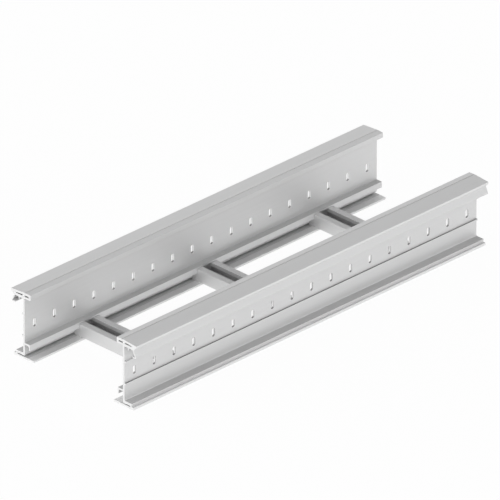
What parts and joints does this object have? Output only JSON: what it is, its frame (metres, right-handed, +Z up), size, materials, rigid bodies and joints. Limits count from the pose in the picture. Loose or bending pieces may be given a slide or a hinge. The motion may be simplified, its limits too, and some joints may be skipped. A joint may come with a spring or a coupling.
{
  "type": "cable ladder section",
  "caption": "Straight aluminium cable ladder section: two hollow-flanged side rails with slotted webs, joined by channel rungs.",
  "frame": {"origin": "on the floor under the section's middle, half-way between the rails and between the ends", "axes": "+X along the rails, +Y across to the left rail, +Z up from the floor to the rails' heads"},
  "size_m": [0.9, 0.32, 0.135],
  "materials": {
    "mill_aluminium": "satin mill finish"
  },
  "bodies": {
    "root": {"side_rail_left": "mill_aluminium", "side_rail_right": "mill_aluminium", "rung_1": "mill_aluminium", "rung_2": "mill_aluminium", "rung_3": "mill_aluminium"}
  },
  "joints": []
}
